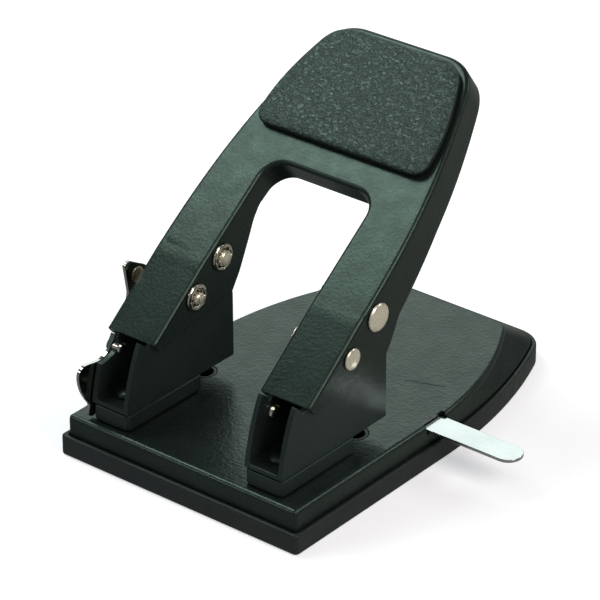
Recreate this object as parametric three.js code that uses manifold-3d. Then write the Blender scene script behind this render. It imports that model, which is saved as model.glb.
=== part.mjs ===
// Heavy-duty two-hole desk punch. Millimetres, +Z up.
// Inside the assembly, y is measured from the chip tray's front edge, under the punch heads, towards the
// side where the paper goes in. The whole assembly is then moved back by half the tray's depth, so the
// exported origin is the centre of the tray's underside.

import * as THREE from "three";
import { mergeVertices } from "three/addons/utils/BufferGeometryUtils.js";
import Module from "manifold-3d";

const wasm = await Module();
wasm.setup();
const { PI, sin, cos, atan2, hypot } = Math;
const degrees = PI / 180;

// ---- driving dimensions ---------------------------------------------------------------------------

const gap = 0.3; // between parts that rest on or sit in each other
const holeSpacing = 70; // centre to centre of the two punched holes, 2 3/4 inch
const headX = holeSpacing / 2;
const pinDiameter = 7.1; // 9/32 inch

const trayHalfWidth = 54.3;
const trayDepth = 165.8;
const trayHeight = 8;
const trayFloor = 1.8;

const baseHalfWidth = 52.3;
const baseInset = trayHalfWidth - baseHalfWidth; // width of the tray's ledge round the base
const baseTop = 16;
const baseSheet = 1.2;
const baseBend = 1.8;
const frontCorner = 1.6;
// Two plan outlines of the base: one round the foot of its wall, one round its top. The sides run
// straight to sideArc, then curve inwards. The wall leans in more and more towards the rear.
const footPlan = { sideArc: 85, arcRadius: 196, rear: 163.8, corner: 11 };
const topPlan = { sideArc: 78, arcRadius: 138, rear: 154.2, corner: 9 };
const wallBreak = 8.6; // upright below this height

const footTop = 22.3;
const footFront = 5.6;
const footRear = 45.3;

const bracketHalfWidth = 8.3;
const bracketSheet = 2;
const bracketBottom = footTop + gap;
const bracketFront = 5.4;
const bracketRear = 63.4;
const cheekInner = bracketHalfWidth - bracketSheet;

const pivot = { y: 40, z: 57 };
const pusher = { y: 54.2, z: 67.3 };
const pivotShaft = 2.4;
const pusherShaft = 3;
const runningClearance = 0.3;

const handleSheet = 1.6;
const handleBend = { y: 44, z: 68.35 }; // the top face changes slope here
const handleSlope = 36.2 * degrees;
const legSlope = 38.55 * degrees;
const legHalfOuter = 46.1;
const legInner = 23.9;
const legLength = 34;
const handleReach = 106; // from the bend to the top end
const windowTop = 46.7;
const windowCorner = 8.5;
const skirtLimit = 34;

const punchY = 56;
const pinBottom = 23.2;
const pinTop = 63.8;
const guideTop = 33;
const springRadius = 4.9;
const springWire = 0.65;
const seatBottom = 58.6;
const seatThickness = 1.4;

const guideWidth = 11;
const guideThickness = 1.2;
const guideTopFace = 14.4;
const guideY = 81.6;
const guideReach = 88.8; // tip of the strip when it is pulled out

// ---- small helpers --------------------------------------------------------------------------------

const toSolid = (geometry) => {
  const bare = geometry.index ? geometry.toNonIndexed() : geometry.clone();
  for (const name of Object.keys(bare.attributes)) {
    if (name !== "position") bare.deleteAttribute(name);
  }
  const merged = mergeVertices(bare, 1e-4);
  return new wasm.Manifold(
    new wasm.Mesh({
      numProp: 3,
      vertProperties: new Float32Array(merged.attributes.position.array),
      triVerts: new Uint32Array(merged.index.array),
    }),
  );
};

const toGeometry = (solid) => {
  const mesh = solid.getMesh();
  const geometry = new THREE.BufferGeometry();
  geometry.setAttribute("position", new THREE.BufferAttribute(mesh.vertProperties, 3));
  geometry.setIndex(new THREE.BufferAttribute(mesh.triVerts, 1));
  return geometry;
};

const join = (...geometries) =>
  toGeometry(geometries.map(toSolid).reduce((total, next) => total.add(next)));

const cut = (geometry, ...tools) =>
  toGeometry(tools.map(toSolid).reduce((total, next) => total.subtract(next), toSolid(geometry)));

const keepInside = (geometry, tool) => toGeometry(toSolid(geometry).intersect(toSolid(tool)));

const boxBetween = (x0, x1, y0, y1, z0, z1) =>
  new THREE.BoxGeometry(x1 - x0, y1 - y0, z1 - z0).translate((x0 + x1) / 2, (y0 + y1) / 2, (z0 + z1) / 2);

const shapeOf = (points) => new THREE.Shape(points.map(([x, y]) => new THREE.Vector2(x, y)));

// A prism of an outline in X and Y, standing from z0 to z1.
const prismZ = (shape, z0, z1, curveSegments = 6) =>
  new THREE.ExtrudeGeometry(shape, { depth: z1 - z0, bevelEnabled: false, curveSegments }).translate(0, 0, z0);

// A prism of an outline given as (y, z) pairs, running from x0 to x1.
const prismX = (outline, x0, x1, curveSegments = 6) => {
  const shape = outline instanceof THREE.Shape ? outline : shapeOf(outline);
  const prism = new THREE.ExtrudeGeometry(shape, { depth: x1 - x0, bevelEnabled: false, curveSegments });
  const axes = new THREE.Matrix4().makeBasis(
    new THREE.Vector3(0, 1, 0),
    new THREE.Vector3(0, 0, 1),
    new THREE.Vector3(1, 0, 0),
  );
  return prism.applyMatrix4(axes).translate(x0, 0, 0);
};

// A turned solid about Z from [radius, z] pairs that start and end on the axis or close on themselves.
const turnedZ = (profile, segments = 18) =>
  new THREE.LatheGeometry(profile.map(([r, z]) => new THREE.Vector2(r, z)), segments).rotateX(PI / 2);

// The same about an axis along X through (y, z); the profile's second number is then x.
const turnedX = (profile, y, z, segments = 16) =>
  turnedZ(profile, segments).rotateY(PI / 2).translate(0, y, z);

const rodZ = (radius, z0, z1, x = 0, y = 0, segments = 18) =>
  turnedZ([[0, z0], [radius, z0], [radius, z1], [0, z1]], segments).translate(x, y, 0);

const rodX = (radius, x0, x1, y, z, segments = 16) =>
  turnedX([[0, x0], [radius, x0], [radius, x1], [0, x1]], y, z, segments);

// ---- base and tray --------------------------------------------------------------------------------

// A plan outline, moved inwards by inset: straight sides, long arcs towards a straight rear edge.
const planOutline = (plan, inset) => {
  const half = baseHalfWidth - inset;
  const front = baseInset + inset;
  const rear = plan.rear - inset;
  const arc = plan.arcRadius - inset;
  const cornerFront = Math.max(frontCorner - Math.max(inset, 0), 0.4);
  const cornerRear = Math.max(plan.corner - inset, 0.4);
  const centreX = baseHalfWidth - plan.arcRadius;
  // The rear corner's arc touches the side arc from inside and the rear edge.
  const cornerY = rear - cornerRear;
  const sweep = Math.asin((cornerY - plan.sideArc) / (arc - cornerRear));
  const cornerX = centreX + (arc - cornerRear) * cos(sweep);
  const rightSide = [];
  const addArc = (cx, cy, radius, from, to, steps) => {
    for (let i = 0; i <= steps; i++) {
      const a = from + ((to - from) * i) / steps;
      rightSide.push([cx + radius * cos(a), cy + radius * sin(a)]);
    }
  };
  addArc(half - cornerFront, front + cornerFront, cornerFront, -PI / 2, 0, 3);
  addArc(centreX, plan.sideArc, arc, 0, sweep, 8);
  addArc(cornerX, cornerY, cornerRear, sweep + 0.08, PI / 2, 5);
  const leftSide = rightSide.map(([x, y]) => [-x, y]).reverse();
  return [...rightSide, ...leftSide];
};

// A closed body through a list of [plan, inset, z] levels, closed over with flat faces at both ends.
const planLoft = (levels) => {
  const rings = levels.map(([plan, inset, z]) => planOutline(plan, inset).map(([x, y]) => [x, y, z]));
  const count = rings[0].length;
  const positions = rings.flat(2);
  const index = [];
  for (let r = 0; r + 1 < rings.length; r++) {
    for (let i = 0; i < count; i++) {
      const a = r * count + i;
      const b = r * count + ((i + 1) % count);
      index.push(a, b, b + count, a, b + count, a + count);
    }
  }
  const flat = (ring) => ring.map(([x, y]) => new THREE.Vector2(x, y));
  for (const [a, b, c] of THREE.ShapeUtils.triangulateShape(flat(rings[0]), [])) index.push(a, c, b);
  const last = (rings.length - 1) * count;
  for (const [a, b, c] of THREE.ShapeUtils.triangulateShape(flat(rings.at(-1)), [])) {
    index.push(last + a, last + b, last + c);
  }
  const geometry = new THREE.BufferGeometry();
  geometry.setAttribute("position", new THREE.Float32BufferAttribute(positions, 3));
  geometry.setIndex(index);
  return geometry;
};

const baseWallBottom = trayFloor + gap;
const guideSlotHalf = guideWidth / 2 + 0.6;
const slotReach = 2.8;

function basePlate() {
  const outer = [[footPlan, 0, baseWallBottom], [footPlan, 0, wallBreak]];
  const bendSteps = 3;
  for (let i = 0; i <= bendSteps; i++) {
    const a = (i * PI) / 2 / bendSteps;
    outer.push([topPlan, baseBend * (1 - cos(a)), baseTop - baseBend * (1 - sin(a))]);
  }
  const inner = [
    [footPlan, baseSheet, baseWallBottom - 1],
    [footPlan, baseSheet, wallBreak - 0.7],
    [topPlan, baseSheet + 0.7, baseTop - baseBend - 0.5],
    [topPlan, baseBend + 0.8, baseTop - baseSheet],
  ];
  const holes = [-headX, headX].flatMap((x) => [
    rodZ(dieNeck + gap, baseTop - 3, baseTop + 1, x, punchY),
    ...footRivetYs.map((y) => rodZ(rivetHole, baseTop - 3, baseTop + 1, x, y, 12)),
  ]);
  // The strip's slot is open upwards, through the wall's bend.
  const slot = boxBetween(
    baseHalfWidth - slotReach, baseHalfWidth + 2, guideY - guideSlotHalf, guideY + guideSlotHalf,
    guideTopFace - guideThickness - 0.8, baseTop + 1,
  );
  const railHoles = railRivetXs.flatMap((x) =>
    railRivetYs.map((y) => rodZ(railRivetShaft + runningClearance, baseTop - 3, baseTop + 1, x, y, 8)),
  );
  return cut(planLoft(outer), planLoft(inner), ...holes, slot, ...railHoles);
}

function chipTray() {
  const chamfer = 0.6;
  const outer = [
    [footPlan, -baseInset + 0.8, 0], [footPlan, -baseInset, 0.8],
    [footPlan, -baseInset, trayHeight - chamfer], [footPlan, -baseInset + chamfer, trayHeight],
  ];
  const inner = [[footPlan, -gap, trayFloor], [footPlan, -gap, trayHeight + 1]];
  return cut(planLoft(outer), planLoft(inner));
}

// ---- punch heads ----------------------------------------------------------------------------------

const footRivetYs = [15, 37];
const rivetShaft = 2.5;
const rivetHole = rivetShaft + runningClearance;
const dieNeck = 5;
const dieBore = pinDiameter / 2 + 0.25;
const webTop = bracketBottom + bracketSheet;

// The cheek's outline as (y, z): a front edge that curves back as it rises, a notch that clears the end
// of the handle's leg, a top edge just under the leg, an arc round the pivot and a drop to the rear edge.
const cheekTopClearance = 0.45;
const alongLeg = (y, below) =>
  handleBend.z + (y - handleBend.y) * Math.tan(legSlope) - below / cos(legSlope);
const cheekLine = (y) => alongLeg(y, handleSheet + cheekTopClearance);
const pivotEye = (cheekLine(pivot.y) - pivot.z) * cos(legSlope);
const cheekTip = { y: 13.4, z: 48.6 };

function cheekOutline() {
  const shape = new THREE.Shape();
  const rearTop = { y: bracketRear, z: 49.2 };
  const toRear = atan2(rearTop.z - pivot.z, rearTop.y - pivot.y);
  const tangent = toRear + Math.acos(pivotEye / hypot(rearTop.y - pivot.y, rearTop.z - pivot.z));
  shape.moveTo(bracketFront, bracketBottom + 0.6);
  shape.lineTo(bracketFront + 0.6, bracketBottom);
  shape.lineTo(bracketRear, bracketBottom);
  shape.lineTo(bracketRear, rearTop.z - 0.8);
  shape.lineTo(rearTop.y - 0.8, rearTop.z);
  shape.absarc(pivot.y, pivot.z, pivotEye, tangent, PI / 2 + legSlope, false);
  shape.lineTo(17, cheekLine(17));
  shape.lineTo(16.6, 46.2);
  shape.lineTo(cheekTip.y, cheekTip.z);
  shape.bezierCurveTo(10.4, 42.6, 7.6, 36, bracketFront, bracketBottom + 0.6);
  return shape;
}

function bracket(side) {
  const x = side * headX;
  const cheeks = prismX(cheekOutline(), x - bracketHalfWidth, x + bracketHalfWidth);
  const channel = boxBetween(x - cheekInner, x + cheekInner, 0, 80, webTop, 80);
  const shaftHoles = rodX(pivotShaft + runningClearance, x - 12, x + 12, pivot.y, pivot.z);
  const webHoles = footRivetYs.map((y) => rodZ(rivetHole, bracketBottom - 1, webTop + 1, x, y, 12));
  const pinHole = rodZ(pinDiameter / 2 + 0.5, bracketBottom - 1, webTop + 1, x, punchY);
  const cheekHole = rodX(leverShaft + runningClearance, x - 12, x, leverPivot.y, leverPivot.z, 16);
  return cut(cheeks, channel, shaftHoles, ...webHoles, pinHole, cheekHole);
}

function footBlock(side) {
  const x = side * headX;
  const half = bracketHalfWidth + 0.1;
  const corner = 1.4;
  const shape = shapeOf([
    [x - half, footFront + corner], [x - half + corner, footFront], [x + half - corner, footFront],
    [x + half, footFront + corner], [x + half, footRear], [x - half, footRear],
  ]);
  const holes = footRivetYs.map((y) => rodZ(rivetHole, baseTop, footTop + 1, x, y, 12));
  return cut(prismZ(shape, baseTop + gap, footTop), ...holes);
}

// A headed shaft that clamps base, foot block and bracket together.
function footRivet(side, y) {
  const bottom = baseTop - baseSheet - gap;
  const top = webTop + gap;
  return turnedZ([
    [0, bottom - 1.4], [3, bottom - 1.4], [4, bottom - 0.6], [4, bottom], [rivetShaft, bottom],
    [rivetShaft, top], [4.2, top], [4.2, top + 0.7], [3, top + 1.7], [0, top + 2],
  ], 12).translate(side * headX, y, 0);
}

function dieBush(side) {
  const collarTop = baseTop - baseSheet - gap;
  return turnedZ([
    [dieBore, 10.4], [7.6, 10.4], [7.6, collarTop], [dieNeck, collarTop], [dieNeck, baseTop - 0.1],
    [dieBore, baseTop - 0.1], [dieBore, 10.4],
  ], 24).translate(side * headX, punchY, 0);
}

function pinGuide(side) {
  const x = side * headX;
  const half = cheekInner - gap;
  const block = boxBetween(x - half, x + half, 46.5, bracketRear + 2.6, webTop + gap, guideTop);
  const rearChamfer = boxBetween(x - 9, x + 9, bracketRear + 0.4, bracketRear + 4, 0, webTop + 1.8);
  const upperChamfer = boxBetween(x - 9, x + 9, bracketRear + 0.4, bracketRear + 4, guideTop - 3, guideTop + 3);
  return cut(block, rearChamfer, upperChamfer, rodZ(pinDiameter / 2 + 0.15, 20, 40, x, punchY));
}

// The pin is ground to a shallow hollow at its cutting end and has a groove for its clip.
function punchPin(side) {
  const r = pinDiameter / 2;
  return turnedZ([
    [0, pinBottom + 0.8], [r, pinBottom], [r, clipBottom], [r - 0.8, clipBottom],
    [r - 0.8, clipBottom + clipThickness], [r, clipBottom + clipThickness], [r, pinTop - 0.6],
    [r - 0.6, pinTop], [0, pinTop],
  ]).translate(side * headX, punchY, 0);
}

const clipBottom = seatBottom + seatThickness + gap;
const clipThickness = 1.2;

function springSeat(side) {
  const inner = pinDiameter / 2 + 0.15;
  const outer = cheekInner - 0.5;
  const top = seatBottom + seatThickness;
  return turnedZ([
    [inner, seatBottom], [outer, seatBottom], [outer, top], [inner, top], [inner, seatBottom],
  ]).translate(side * headX, punchY, 0);
}

// An open ring that snaps into the pin's groove, with its mouth to the front.
function retainingClip(side) {
  const inner = pinDiameter / 2 - 0.5;
  const z0 = clipBottom + 0.1;
  const z1 = clipBottom + clipThickness - 0.1;
  const ring = turnedZ([[inner, z0], [5.3, z0], [5.3, z1], [inner, z1], [inner, z0]], 18);
  const mouth = boxBetween(-1.6, 1.6, -8, 0, z0 - 1, z1 + 1);
  return cut(ring, mouth).translate(side * headX, punchY, 0);
}

class Helix extends THREE.Curve {
  constructor(radius, z0, z1, turns) {
    super();
    Object.assign(this, { radius, z0, z1, turns });
  }
  getPoint(t, target = new THREE.Vector3()) {
    const a = 2 * PI * this.turns * t;
    return target.set(this.radius * cos(a), this.radius * sin(a), this.z0 + (this.z1 - this.z0) * t);
  }
}

function punchSpring(side) {
  const turns = 6;
  const margin = springWire + gap;
  const path = new Helix(springRadius, guideTop + margin, seatBottom - margin, turns);
  const section = [];
  const sides = 5;
  for (let i = 0; i < sides; i++) {
    section.push([springWire * cos((i * 2 * PI) / sides), springWire * sin((i * 2 * PI) / sides)]);
  }
  return new THREE.ExtrudeGeometry(shapeOf(section), { extrudePath: path, steps: turns * 10 })
    .translate(side * headX, punchY, 0);
}

// ---- handle ---------------------------------------------------------------------------------------

// Worked out flat: x across, y up the slope from the bend, z up out of the top face at z = 0.
const topTaper = { x: 34, y: 94 };
const topEdge = { x: 18, y: handleReach };

function handleSide(shape, inset) {
  // Right side from the leg's lower end to the top edge, then the left side back down.
  const leg = legHalfOuter - inset;
  const low = -legLength - 6;
  const tx = topTaper.x - inset;
  shape.moveTo(leg, low);
  shape.lineTo(leg, 4);
  shape.bezierCurveTo(leg, 46, 41 - inset, 70, tx, topTaper.y - inset * 0.35);
  shape.quadraticCurveTo(30.2 - inset, topEdge.y - inset, topEdge.x - inset * 0.4, topEdge.y - inset);
  shape.lineTo(-topEdge.x + inset * 0.4, topEdge.y - inset);
  shape.quadraticCurveTo(-30.2 + inset, topEdge.y - inset, -tx, topTaper.y - inset * 0.35);
  shape.bezierCurveTo(-41 + inset, 70, -leg, 46, -leg, 4);
  shape.lineTo(-leg, low);
  return low;
}

// The whole outline with the window left out, as one U shape. Positive inset shrinks the material.
function handleOutline(inset) {
  const shape = new THREE.Shape();
  const low = handleSide(shape, inset);
  const half = legInner + inset;
  const top = windowTop + inset;
  const corner = windowCorner + inset;
  shape.lineTo(-half, low);
  shape.lineTo(-half, top - corner);
  shape.absarc(-half + corner, top - corner, corner, PI, PI / 2, true);
  shape.lineTo(half - corner, top);
  shape.absarc(half - corner, top - corner, corner, PI / 2, 0, true);
  shape.lineTo(half, low);
  return shape;
}

// Skirt edges in the assembly's (y, z), turned into the flat handle's frame.
const toFlat = ([y, z]) => {
  const dy = y - handleBend.y;
  const dz = z - handleBend.z;
  return [dy * cos(handleSlope) + dz * sin(handleSlope), -dy * sin(handleSlope) + dz * cos(handleSlope)];
};
const outerSkirt = [[18.4, 44.6], [59.8, 50.4], [62.3, 53.7], [66.9, 62.4], [82.6, 76.9], [90.9, 84.6],
  [130.2, 116.5]].map(toFlat);
const innerSkirt = [[18.4, 44.6], [59.8, 50.4], [64.4, 57.6], [69.3, 67.9], [72.4, 75], [74.5, 81]].map(toFlat);
const windowSkirtDepth = 10.5;

function handle() {
  const round = { size: 1.5, steps: 2 };
  const outside = new THREE.ExtrudeGeometry(handleOutline(round.size), {
    depth: skirtLimit, bevelSize: round.size, bevelThickness: round.size, bevelSegments: round.steps,
    curveSegments: 7,
  }).translate(0, 0, -skirtLimit - round.size);
  const inside = prismZ(handleOutline(handleSheet), -skirtLimit - 4, -handleSheet, 7);
  const channel = cut(outside, inside);

  // Everything lower than the skirts' edges is cut away, deeper at the sides than round the window.
  const floorZ = -skirtLimit - 6;
  const below = (edge, endDepth) => [
    [-legLength - 20, floorZ], [-legLength - 20, edge[0][1] - 8], ...edge,
    [handleReach + 20, -endDepth], [handleReach + 20, floorZ],
  ];
  const outerCut = prismX(below(outerSkirt, 12), -60, 60);
  const innerEdge = [...innerSkirt, [windowTop - 4, -windowSkirtDepth]];
  const innerCut = prismX(below(innerEdge, windowSkirtDepth), -legInner - 4, legInner + 4);
  const trimmed = cut(channel, outerCut, innerCut);

  // The legs are bent a little steeper than the upper part.
  const far = 200;
  const upper = keepInside(trimmed, boxBetween(-far, far, 0, far, -far, far));
  const tilt = legSlope - handleSlope;
  const legs = keepInside(trimmed, boxBetween(-far, far, -legLength, 0.2, -far, far)).rotateX(tilt);
  const bent = join(upper, legs);

  const placed = bent.rotateX(handleSlope).translate(0, handleBend.y, handleBend.z);
  return cut(
    placed,
    rodX(pivotShaft + runningClearance, -60, 60, pivot.y, pivot.z),
    rodX(pusherShaft + runningClearance, -60, 60, pusher.y, pusher.z),
  );
}

const pad = { low: 57.5, half: 37.8, corner: 6, top: 103.9, thickness: 3.6, rounding: 2 };

function handlePad() {
  const shape = new THREE.Shape();
  const { low, half, corner, top, thickness, rounding } = pad;
  shape.moveTo(half - corner, low);
  shape.quadraticCurveTo(half, low, half, low + corner);
  shape.bezierCurveTo(half, 72, 36, 82, 30.9, 95.5);
  shape.quadraticCurveTo(28, top, 18.5, top);
  shape.lineTo(-18.5, top);
  shape.quadraticCurveTo(-28, top, -30.9, 95.5);
  shape.bezierCurveTo(-36, 82, -half, 72, -half, low + corner);
  shape.quadraticCurveTo(-half, low, -half + corner, low);
  const rounded = new THREE.ExtrudeGeometry(shape, {
    depth: 1, bevelSize: rounding, bevelThickness: rounding, bevelOffset: -rounding,
    bevelSegments: 3, curveSegments: 6,
  }).translate(0, 0, gap + thickness - rounding - 1);
  // Only the upper edge is rounded; the foot stands square on the handle.
  return keepInside(rounded, boxBetween(-60, 60, 0, 120, gap, 10))
    .rotateX(handleSlope)
    .translate(0, handleBend.y, handleBend.z);
}

// A rivet along X through one leg. Its set head is outside; its shaft ends inside, past a star washer.
const washerThickness = 1;

function legRivet(side, at, shaft, head, dome) {
  const outer = legHalfOuter + gap;
  const inner = legInner - gap;
  const end = inner - washerThickness - gap;
  const profile = [
    [0, end - 1.2], [shaft - 0.8, end - 1.2], [shaft, end - 0.4], [shaft, outer], [head, outer],
    [head, outer + 0.3], [head * 0.82, outer + dome * 0.7], [head * 0.45, outer + dome * 0.95], [0, outer + dome],
  ];
  const rivet = turnedX(profile, at.y, at.z);
  return side > 0 ? rivet : mirrored(rivet);
}

// Mirror in the x = 0 plane, turning the faces back outwards.
function mirrored(geometry) {
  const flipped = geometry.index ? geometry.toNonIndexed() : geometry.clone();
  const p = flipped.attributes.position;
  for (let i = 0; i < p.count; i += 3) {
    const [a, b] = [i + 1, i + 2];
    const [bx, by, bz] = [p.getX(b), p.getY(b), p.getZ(b)];
    p.setXYZ(b, p.getX(a), p.getY(a), p.getZ(a));
    p.setXYZ(a, bx, by, bz);
  }
  for (let i = 0; i < p.count; i++) p.setX(i, -p.getX(i));
  return flipped;
}

function starWasher(side, at, shaft) {
  const x1 = legInner - gap;
  const x0 = x1 - washerThickness;
  const outer = 5.2;
  const inner = shaft + runningClearance;
  const ring = turnedX(
    [[inner, x0], [outer - 0.5, x0], [outer, x0 + 0.4], [outer, x1], [inner, x1], [inner, x0]],
    at.y, at.z,
  );
  const notch = 0.5;
  const notches = [0, 1, 2, 3].map((i) => {
    const a = (i * PI) / 2 + PI / 4;
    return rodX(notch, x0 - 1, x0 + 0.5, at.y + (outer - 1) * cos(a), at.z + (outer - 1) * sin(a), 8);
  });
  const washer = cut(ring, ...notches);
  return side > 0 ? washer : mirrored(washer);
}

// ---- lock lever -----------------------------------------------------------------------------------

const leverPivot = { y: 18.8, z: 39.8 };
const leverLink = { y: 27, z: 34, radius: 3.6 };
const leverShaft = 2;
const leverPlate = 1.2;
const leverInnerX = -headX - bracketHalfWidth - 0.5;
const leverOuterX = -legHalfOuter - 2.9;

function lockLever() {
  // Lower plate beside the cheek: a curved finger tab that ends just above the base, and a rear lobe.
  const tab = new THREE.Shape();
  tab.moveTo(18.6, 43.4);
  tab.quadraticCurveTo(16, 38, 11, 37.4);
  tab.bezierCurveTo(8, 37.2, 5, 38.6, 2.2, 38.2);
  tab.bezierCurveTo(-0.6, 37.6, -0.8, 34.6, -0.2, 32);
  tab.bezierCurveTo(0.6, 27.6, 3, 24.6, 4.6, 22.2);
  tab.bezierCurveTo(5, 21.2, 4, 19.6, 4, 18.6);
  tab.bezierCurveTo(4, 16.2, 8.6, 16.2, 9, 18.8);
  tab.bezierCurveTo(9.4, 22, 8.6, 25, 11, 28.6);
  tab.bezierCurveTo(13, 31.6, 20, 30.6, 26.4, 30.2);
  tab.lineTo(30.6, 32.6);
  tab.lineTo(30.4, 36);
  tab.lineTo(22.4, 42.6);
  const lower = prismX(tab, leverInnerX - leverPlate, leverInnerX, 6);
  // Upper arm outside the leg, joined to the lower plate by a stud behind the pivot.
  const arm = shapeOf([
    [23.2, 34.6], [27, 30], [31, 33], [37, 46.6], [46, 57.4], [41.6, 61.2], [32.5, 65.8], [30.7, 66],
    [32.6, 53.6],
  ]);
  const upper = prismX(arm, leverOuterX - leverPlate, leverOuterX);
  const stud = rodX(leverLink.radius, leverOuterX - leverPlate, leverInnerX, leverLink.y, leverLink.z);
  const hole = rodX(leverShaft + runningClearance, -70, 0, leverPivot.y, leverPivot.z, 12);
  return cut(join(lower, stud, upper), hole);
}

function cheekRivet(side) {
  const inner = side * headX - cheekInner + gap;
  const reach = side < 0 ? leverInnerX - leverPlate - gap : headX - bracketHalfWidth - gap;
  const outerHead = 0.9;
  return turnedX([
    [0, reach - outerHead - 0.4], [1.9, reach - outerHead], [2.8, reach - 0.3], [2.8, reach],
    [leverShaft, reach], [leverShaft, inner], [3.4, inner], [3.4, inner + 0.6], [2.4, inner + 1.3],
    [0, inner + 1.6],
  ], leverPivot.y, leverPivot.z, 18);
}

// ---- paper guide ----------------------------------------------------------------------------------

const railRivetXs = [-18, 30];
const railRivetYs = [guideY - 9.6, guideY + 9.6];
const railRivetShaft = 1.2;
const railSheet = 1;
const stripInner = -6;

function paperGuide() {
  const half = guideWidth / 2;
  const shape = new THREE.Shape();
  shape.moveTo(stripInner, guideY - half);
  shape.lineTo(guideReach - half, guideY - half);
  shape.absarc(guideReach - half, guideY, half, -PI / 2, PI / 2, false);
  shape.lineTo(stripInner, guideY + half);
  const strip = prismZ(shape, guideTopFace - guideThickness, guideTopFace, 10);
  // A small raised stop near the inner end keeps the strip in its rail.
  const stop = boxBetween(stripInner, stripInner + 2, guideY - 3, guideY + 3, guideTopFace - 2.4, guideTopFace - 1);
  return join(strip, stop);
}

// A shallow channel under the base: it carries the strip and is riveted up through its two edges.
function guideRail() {
  const lip = baseTop - baseSheet - gap;
  const [x0, x1] = [-44, 46];
  const innerHalf = guideWidth / 2 + 0.5;
  const outerHalf = 12;
  const floor = guideTopFace - guideThickness - gap - 2.2;
  const section = shapeOf([
    [guideY - outerHalf, lip], [guideY - outerHalf, lip - railSheet],
    [guideY - innerHalf - railSheet, lip - railSheet], [guideY - innerHalf - railSheet, floor - railSheet],
    [guideY + innerHalf + railSheet, floor - railSheet], [guideY + innerHalf + railSheet, lip - railSheet],
    [guideY + outerHalf, lip - railSheet], [guideY + outerHalf, lip],
    [guideY + innerHalf, lip], [guideY + innerHalf, floor], [guideY - innerHalf, floor],
    [guideY - innerHalf, lip],
  ]);
  const holes = railRivetXs.flatMap((x) =>
    railRivetYs.map((y) => rodZ(railRivetShaft + runningClearance, floor - 3, lip + 1, x, y, 8)),
  );
  return cut(prismX(section, x0, x1), ...holes);
}

function railRivet(x, y) {
  const bottom = baseTop - baseSheet - gap - railSheet - gap;
  return turnedZ([
    [0, bottom - 1], [2.2, bottom - 1], [2.4, bottom], [railRivetShaft, bottom],
    [railRivetShaft, baseTop - 0.1], [0, baseTop - 0.1],
  ], 8).translate(x, y, 0);
}

// A bowed leaf under the strip presses it against the rail's top edges.
function guideSpring() {
  const under = guideTopFace - guideThickness - gap;
  const low = under - 1.6;
  const sheet = 0.4;
  const [x0, x1] = [16, 40];
  const bow = [];
  const steps = 8;
  for (let i = 0; i <= steps; i++) {
    const t = i / steps;
    bow.push([x0 + (x1 - x0) * t, low + (under - sheet - low) * sin(PI * t)]);
  }
  const outline = [...bow, ...bow.map(([x, z]) => [x, z + sheet]).reverse()];
  return new THREE.ExtrudeGeometry(shapeOf(outline), { depth: 8, bevelEnabled: false })
    .rotateX(PI / 2)
    .translate(0, guideY + 4, 0);
}

// ---- materials and assembly -----------------------------------------------------------------------

const material = (color, roughness, metalness) =>
  new THREE.MeshStandardMaterial({ color, roughness, metalness });

const blackPaint = () => material(0x2f3936, 0.42, 0.1);
const blackPlastic = () => material(0x1d2322, 0.6, 0);
const leather = () => material(0x2b332f, 0.62, 0);
const nickel = () => material(0xc9c6ba, 0.25, 1);
const steel = () => material(0x9a9b98, 0.35, 1);
const darkSteel = () => material(0x4a4c4c, 0.4, 1);

const assembly = new THREE.Group();
assembly.position.y = -trayDepth / 2;

const add = (name, geometry, finish) => {
  const mesh = new THREE.Mesh(geometry, finish);
  mesh.name = name;
  assembly.add(mesh);
};

add("base_plate", basePlate(), blackPaint());
add("chip_tray", chipTray(), blackPlastic());
add("handle", handle(), blackPaint());
add("handle_pad", handlePad(), leather());
add("lock_lever", lockLever(), nickel());
add("paper_guide", paperGuide(), nickel());
add("guide_rail", guideRail(), steel());
add("guide_spring", guideSpring(), steel());

railRivetXs.forEach((x, i) =>
  railRivetYs.forEach((y, j) => add(`rail_rivet_${2 * i + j + 1}`, railRivet(x, y), blackPaint())),
);

for (const [name, side] of [["left", -1], ["right", 1]]) {
  add(`${name}_bracket`, bracket(side), blackPaint());
  add(`${name}_foot_block`, footBlock(side), blackPaint());
  footRivetYs.forEach((y, i) => add(`${name}_foot_rivet_${i + 1}`, footRivet(side, y), blackPaint()));
  add(`${name}_die_bush`, dieBush(side), darkSteel());
  add(`${name}_pin_guide`, pinGuide(side), darkSteel());
  add(`${name}_punch_pin`, punchPin(side), steel());
  add(`${name}_punch_spring`, punchSpring(side), steel());
  add(`${name}_spring_seat`, springSeat(side), steel());
  add(`${name}_retaining_clip`, retainingClip(side), steel());
  add(`${name}_pivot_rivet`, legRivet(side, pivot, pivotShaft, 4, 1.5), nickel());
  add(`${name}_pusher_rivet`, legRivet(side, pusher, pusherShaft, 5.3, 2.2), nickel());
  add(`${name}_pivot_washer`, starWasher(side, pivot, pivotShaft), nickel());
  add(`${name}_pusher_washer`, starWasher(side, pusher, pusherShaft), nickel());
  add(`${name}_cheek_rivet`, cheekRivet(side), nickel());
}

const punch = new THREE.Group();
punch.add(assembly);

export default punch;
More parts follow.
